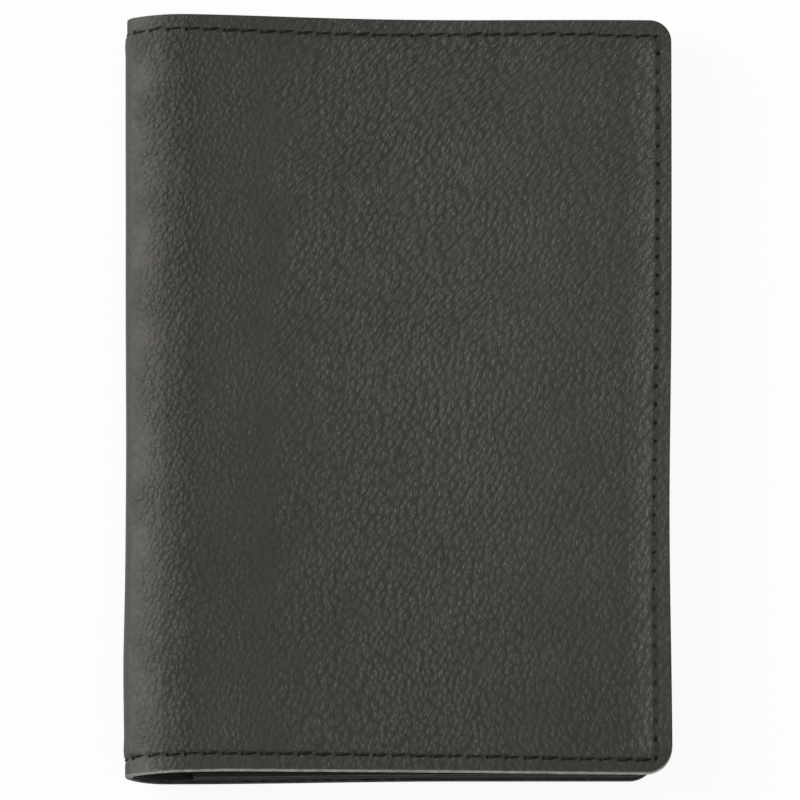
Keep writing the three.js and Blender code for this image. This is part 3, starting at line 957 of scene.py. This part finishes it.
def smooth_leather(name):
    """Thin calf: a fine even grain of small round cells, near black, with a soft gloss."""
    material, tree = new_material(name)
    place = flat_place(tree)
    shift = noise(tree, place, 0.9, 2.0)["Color"]
    bent = vector_calc(tree, "MULTIPLY_ADD", shift, (0.5, 0.5, 0), place)
    from_middle = lobes(tree, bent, 2.6, 1.0, 0.6)
    tone = calc(tree, "MULTIPLY_ADD", flat_noise(tree, place, 0.15, 3.0), 0.5, 0.5)
    share = calc(tree, "MULTIPLY_ADD", from_middle, -0.5, tone)
    colour = tint(tree, share, (0.016, 0.0165, 0.015), (0.044, 0.045, 0.041))
    roughness = ramp(tree, from_middle, 0.0, 0.8, 0.5, 0.64)
    finish_material(tree, {"Base Color": colour, "Roughness": roughness}, from_middle, -0.035 * mm)
    return material


calf_faces = [flesh, flesh, smooth_leather("smooth_leather")]


def calf_relief(to_edge, to_seam):
    """How far the calf's face lies below its plain level: rounded at a cut edge, drawn in along a seam."""
    return rounded_off(to_edge, calf_edge_round) + calf_groove_depth * bell(to_seam, calf_groove_width)


def frame_outline(inset):
    """The frame's outer outline drawn in by the inset, with corners that stay a little round."""
    low = back_end + inner_inset + inset
    half = half_height - inner_inset - inset
    free_radius = max(outline_radius - inset, least_radius)
    fold_radius = max(frame_fold_radius - inset, least_radius)
    return pocket_outline(low, pocket_mouth - inset, half, free_radius, fold_radius)


def window_outline(extra):
    """The window's outline widened all round by the extra."""
    radius = window_radius + extra
    return pocket_outline(window_span[0] - extra, window_span[1] + extra, window_half + extra, radius, radius)


at_edge = np.array([0, 0.03, 0.07, 0.12]) * mm
at_seam = np.array([-0.6, -0.3, -0.15, 0, 0.15, 0.3, 0.6]) * mm
from_outline = np.concatenate([at_edge, edge_seam + at_seam])
from_window = np.concatenate([at_edge, window_seam + at_seam])[::-1]
loops = [frame_outline(inset) for inset in from_outline] + [window_outline(extra) for extra in from_window]
ring = np.stack(loops, axis=1)
s, y = ring[..., 0], ring[..., 1]
to_edge = np.concatenate([from_outline, from_window])
to_seam = np.concatenate([from_outline - edge_seam, from_window - window_seam])
lowered = calf_relief(to_edge, to_seam)[None, :] + 0 * s
frame_faces = [on_case(s, y, np.full_like(s, -frame_depths[0])), on_case(s, y, lowered - frame_depths[1])]
window_frame = layer("window_frame", *frame_faces, flat_uv(s, y), calf_faces, ring=True)
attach(window_frame, "back_half")
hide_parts("badge_window_frame")

# Window stitching: black waxed polyester, sewn as a lockstitch through frame and film. Each stitch is a short
# length of twisted thread that comes up out of one needle hole and goes down into the next.
inner_thread_radius = 0.13 * mm
inner_lift = -0.1 * mm
inner_slant = 0.05 * mm
thread_steps = 10
thread_sides = 8
stitch_start = 0.02
stitch_reach = 0.83
start_girth = 1.2
girth_loss = 0.65
start_depth = 0.45 * mm
far_depth = 0.35 * mm
girth_varies = 0.12
slant_varies = 0.35
place_varies = 0.05 * mm
height_varies = 0.015 * mm


def twisted_thread(name):
    """Black thread with its plies twisted round it: slanting bands on its own length and girth."""
    material, tree = new_material(name)
    along, around = split(tree, unrolled_uv(tree))
    ply = thread_round(tree, calc(tree, "MULTIPLY_ADD", along, 7.0, calc(tree, "MULTIPLY", around, 2.0)))
    colour = tint(tree, ply, (0.004, 0.004, 0.004), (0.017, 0.017, 0.016))
    wax = {"Base Color": colour, "Roughness": 0.8, "Specular IOR Level": 0.2}
    finish_material(tree, wax, ply, 0.05 * mm)
    return material


black_thread = twisted_thread("black_thread")


def stitches(starts, pitch, place, slant, lift, radius, seed):
    """Points on the stitches of one run, as stitch by step by side. A stitch comes up out of its hole thick
    and runs most of the way to the next, growing thinner and drifting across by the slant. Its middle falls
    as the eighth power of the distance to its end at the start and as the fifth power at the far end, where
    the leather closes over it. No two stitches have quite the same girth, place, height and slant. place
    turns distance along, distance across and rise into points."""
    jitter = np.random.default_rng(seed).normal(0, 1, (4, len(starts), 1, 1))
    girth_jitter, place_jitter, height_jitter, slant_jitter = jitter
    u = np.linspace(0, 1, thread_steps)[None, :, None]
    around = (np.arange(thread_sides) * 2 * math.pi / thread_sides)[None, None, :]
    girth = radius * (1 + girth_varies * girth_jitter) * (start_girth - girth_loss * u)
    along = np.asarray(starts)[:, None, None] + pitch * (stitch_start + stitch_reach * u) + 0 * around
    middle = slant * (1 + slant_varies * slant_jitter) * u + place_varies * place_jitter
    sunk = start_depth * (1 - u) ** 8 + far_depth * u**5
    height = lift + height_varies * height_jitter - sunk
    return place(along, middle + girth * np.cos(around), height + girth * np.sin(around))


def inner_stitches(starts, pitch, place, seed):
    """Stitches as they show inside the case: thin, nearly straight and drawn in."""
    return stitches(starts, pitch, place, inner_slant, inner_lift, inner_thread_radius, seed)


def sew(name, runs):
    """One piece of thread for these runs of stitches: each stitch a closed tube with its ends capped."""
    points = np.concatenate(runs)
    count = len(points)
    number = np.arange(count * thread_steps * thread_sides).reshape(count, thread_steps, thread_sides)
    beside = np.roll(number, -1, axis=2)
    corners = [number[:, :-1], beside[:, :-1], beside[:, 1:], number[:, 1:]]
    sides = np.stack(corners, axis=-1).reshape(-1, 4)
    caps = np.concatenate([number[:, 0, ::-1], number[:, -1]])
    along = np.linspace(0, 1, thread_steps)
    around = np.arange(thread_sides) / thread_sides
    uv = np.tile(np.stack(np.meshgrid(along, around, indexing="ij"), axis=-1), (count, 1, 1, 1))
    piece = build_mesh(name, points, sides.tolist() + caps.tolist(), [black_thread], uv)
    shells = bmesh.new()
    shells.from_mesh(piece.data)
    bmesh.ops.recalc_face_normals(shells, faces=shells.faces)
    shells.to_mesh(piece.data)
    shells.free()
    return piece


def closed(loop):
    """The points of a loop with the first of them again at its end."""
    return np.concatenate([loop, loop[:1]])


def passed_lengths(path):
    """Distance from the first point of a path to each of its points."""
    return np.concatenate([[0], np.cumsum(np.linalg.norm(np.diff(path, axis=0), axis=1))])


def round_window(along, across, rise):
    """Places stitches on the frame round the window: the seam's outline, and outwards from it for across."""
    path = closed(window_outline(window_seam))
    outward = closed(window_outline(window_seam + 0.5 * mm)) - path
    outward = outward / np.linalg.norm(outward, axis=1)[:, None]
    passed = passed_lengths(path)
    s, y, out_s, out_y = (np.interp(along, passed, column) for column in (*path.T, *outward.T))
    return on_case(s + across * out_s, y + across * out_y, -rise - frame_depths[1])


window_length = passed_lengths(closed(window_outline(window_seam)))[-1]
window_stitch_count = round(window_length / stitch_pitch)
window_pitch = window_length / window_stitch_count
window_starts = window_pitch * np.arange(window_stitch_count)
window_run = inner_stitches(window_starts, window_pitch, round_window, seed=21)
window_stitches = sew("window_stitches", [window_run])
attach(window_stitches, "back_half")
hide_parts("badge_window_thread")

# Slip pocket: one panel of the same smooth leather inside the front cover, open towards the fold and sewn in
# along the other three sides, with a thumb notch in the middle of its open edge.
panel_depths = (1.55 * mm, 2.05 * mm)
panel_start = arc_ends[-1] + 5 * mm
panel_end = front_end - inner_inset
panel_run = panel_end - panel_start
panel_half = half_height - inner_inset
panel_band = 4.2 * mm
panel_step = 0.15 * mm
notch_radius = 9.0 * mm


def panel_hem(end):
    """Distances over the panel's sewn band, up to its cut edge at the end."""
    return towards_edge(end - panel_band, end, panel_step, panel_step, 4)


notch_rows = notch_radius * np.sin(np.linspace(0, math.pi / 2, 40))
plain_rows = np.linspace(notch_radius, panel_half - panel_band, 29, endpoint=False)[1:]
panel_half_rows = np.concatenate([notch_rows, plain_rows, panel_hem(panel_half)])
panel_rows = np.concatenate([-panel_half_rows[:0:-1], panel_half_rows])
plain_run = np.linspace(0, panel_run - panel_band, 52, endpoint=False)[1:]
shares = np.concatenate([at_edge, plain_run, panel_hem(panel_run)]) / panel_run
notch = np.sqrt(np.clip(notch_radius**2 - panel_rows**2, 0, None))[None, :]
s = panel_start + notch + shares[:, None] * (panel_run - notch)
_, y = case_grid(panel_start + shares * panel_run, panel_rows / panel_half, inner_inset)
to_edge = np.minimum(np.minimum(panel_end - s, s - panel_start - notch), panel_half - np.abs(y))
to_seam = np.maximum(*past_seams(s, y))
lowered = calf_relief(to_edge, to_seam)
panel_faces = [on_case(s, y, np.full_like(s, -panel_depths[0])), on_case(s, y, lowered - panel_depths[1])]
slip_pocket = layer("slip_pocket", *panel_faces, flat_uv(s, y), calf_faces)
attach(slip_pocket, "front_half")
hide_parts("front_pocket_panel")

# Edge stitching: the same thread along the top, the free side and the bottom of both covers and on round the
# fold. It lies in the groove that it has drawn in the leather, and its lower half shows inside the case.
ends = {"top": 1, "bottom": -1}
end_radii = {1: 0.2 * mm, -1: 0.23 * mm}
end_slants = {1: 0.3 * mm, -1: -0.25 * mm}
end_lift = -0.1 * mm
tip_drawn_in = 0.12 * mm
side_thread_radius = 0.1 * mm
side_slant = -0.26 * mm
side_lift = -0.12 * mm


def end_seam(end, depth=0.0, facing=1):
    """Places stitches along the top (end 1) or bottom (end -1) seam, on the face at that depth and looking
    out of the case (facing 1) or into it (facing -1). On the outside they lie deeper round the fold's tip."""

    def place(along, across, rise):
        drawn_in = tip_drawn_in * bell(along - fold_middle, tip_seam_spread) * (facing > 0)
        return on_case(along, end * (seam_height(along, end) + across), facing * rise - depth - drawn_in)

    return place


def free_side(cover, depth=0.0, facing=1):
    """Places stitches along a cover's free side."""

    def place(along, across, rise):
        s = side_seam(along) + across if cover == "front" else seam_low - across
        return on_case(s, along, facing * rise - depth)

    return place


stitch_starts = seam_low + stitch_pitch * np.arange(stitch_count)
side_starts = seam_inset - half_height + side_pitch * np.arange(side_stitch_count)
stitch_middles = stitch_starts + stitch_pitch / 2


def starts_between(low, high):
    """Where the stitches start whose middles lie between two path distances."""
    return stitch_starts[(stitch_middles >= low) & (stitch_middles < high)]


def outside_run(end, low, high, seed):
    """Stitches of the top or bottom seam between two path distances, on the grain face."""
    starts = starts_between(low, high)
    return stitches(starts, stitch_pitch, end_seam(end), end_slants[end], end_lift, end_radii[end], seed)


def inside_run(end, low, high, depth, seed):
    """The lower half of those stitches, on the inner face at that depth."""
    return inner_stitches(starts_between(low, high), stitch_pitch, end_seam(end, depth, -1), seed)


cover_spans = {"back": (back_end, 0.0), "front": (arc_ends[-1], front_end)}
inner_spans = {
    "back": [(back_end, pocket_mouth, frame_depths[1]), (pocket_mouth, 0.0, lining_depths[1])],
    "front": [(arc_ends[-1], panel_start, lining_depths[1]), (panel_start, front_end, panel_depths[1])],
}
side_depths = {"back": frame_depths[1], "front": panel_depths[1]}
for cover, span in cover_spans.items():
    runs = {name: outside_run(end, *span, seed=11 + end) for name, end in ends.items()}
    side = free_side(cover)
    runs["side"] = stitches(side_starts, side_pitch, side, side_slant, side_lift, side_thread_radius, seed=13)
    for run, points in runs.items():
        piece = sew(f"{cover}_{run}_stitches", [points])
        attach(piece, f"{cover}_half")
        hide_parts(f"{cover}_{run}_thread")
    inner_runs = [inner_stitches(side_starts, side_pitch, free_side(cover, side_depths[cover], -1), seed=16)]
    for end in ends.values():
        inner_runs += [inside_run(end, *inner_span, seed=17) for inner_span in inner_spans[cover]]
    piece = sew(f"{cover}_inner_stitches", inner_runs)
    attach(piece, f"{cover}_half")
    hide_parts(f"{cover}_inner_thread")

fold_threads = ["spine_back", None, "spine_front"]
for index, name in enumerate(fold_names):
    span = arc_ends[index : index + 2]
    for end_name, end in ends.items():
        runs = [outside_run(end, *span, seed=14), inside_run(end, *span, lining_depths[1], seed=15)]
        piece = sew(f"{name}_{end_name}_stitches", runs)
        bend(piece, index, leather_thick)
        if fold_threads[index]:
            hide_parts(f"{fold_threads[index]}_{end_name}_thread")

# Camera: the case was photographed from almost straight above, a little from its lower edge, with a long
# lens. The distance makes the view nearly parallel, and the lens gives the photograph's scale.
view_width = 117.01 * mm
camera_distance = 5.2
camera_angle = math.radians(75)
look_at = np.array([0.21, -0.35, 4.0]) * mm
camera_data = bpy.data.cameras.new("camera")
camera_data.lens = camera_data.sensor_width * camera_distance / view_width
camera = bpy.data.objects.new("camera", camera_data)
camera.location = look_at + camera_distance * np.array([0, -math.cos(camera_angle), math.sin(camera_angle)])
camera.rotation_euler = (math.pi / 2 - camera_angle, 0, 0)
bpy.context.scene.collection.objects.link(camera)
bpy.context.scene.camera = camera

# Floor and light: a plain white studio table, a large soft lamp from the upper left, a weak one from the
# right and even light from all round.
floor_half = 4.0
floor_level = -0.25 * mm
floor_white = 0.92
sky_level = 0.35
floor_mesh = bpy.data.meshes.new("floor")
corners = np.array([[-1, -1, 0], [1, -1, 0], [1, 1, 0], [-1, 1, 0]]) * floor_half
floor_mesh.from_pydata(corners + [0, 0, floor_level], [], [[0, 1, 2, 3]])
floor_material, tree = new_material("white_table")


def seen_by(tree, *rays):
    """1 for the rays of these kinds and 0 for all others."""
    path = shade(tree, "ShaderNodeLightPath").outputs
    seen = path[rays[0]]
    for ray in rays[1:]:
        seen = calc(tree, "ADD", seen, path[ray])
    return calc(tree, "MINIMUM", seen, 1.0)


seen = seen_by(tree, "Is Camera Ray", "Is Glossy Ray", "Is Transmission Ray")
matt = shade(tree, "ShaderNodeBsdfDiffuse", {"Color": (0.9, 0.9, 0.9, 1)}).outputs[0]
white = shade(tree, "ShaderNodeEmission", {"Color": (1, 1, 1, 1), "Strength": 1.0}).outputs[0]
white_share = calc(tree, "MULTIPLY", seen, floor_white)
mixed = shade(tree, "ShaderNodeMixShader", {0: white_share, 1: matt, 2: white}).outputs[0]
shade(tree, "ShaderNodeOutputMaterial", {"Surface": mixed})
floor_mesh.materials.append(floor_material)
floor = bpy.data.objects.new("floor", floor_mesh)
bpy.context.scene.collection.objects.link(floor)


def soft_lamp(name, direction, distance, size, level, colour):
    """A square lamp that lights a face turned to it as brightly as level times plain white light does."""
    towards = np.array(direction) / np.linalg.norm(direction)
    lamp_data = bpy.data.lights.new(name, "AREA")
    lamp_data.size = size
    lamp_data.color = colour
    lamp_data.energy = level * (math.pi * distance) ** 2
    lamp = bpy.data.objects.new(name, lamp_data)
    lamp.location = towards * distance
    lamp.rotation_euler = lamp.location.to_track_quat("Z", "Y").to_euler()
    bpy.context.scene.collection.objects.link(lamp)


soft_lamp("upper_left", (-0.84, 0.30, 0.48), 1.15, 0.7, 1.2, (1.0, 0.97, 0.95))
soft_lamp("right", (0.9, -0.2, 0.8), 1.4, 0.9, 0.18, (1.0, 1.0, 1.0))
world = bpy.data.worlds.new("studio")
world.use_nodes = True
sky = world.node_tree
background = sky.nodes["Background"]
background.inputs["Color"].default_value = (1, 1, 1, 1)
seen = seen_by(sky, "Is Camera Ray", "Is Transmission Ray")
sky.links.new(ramp(sky, seen, 0.0, 1.0, sky_level, 1.0), background.inputs["Strength"])
bpy.context.scene.world = world
bpy.context.scene.view_settings.view_transform = "Standard"
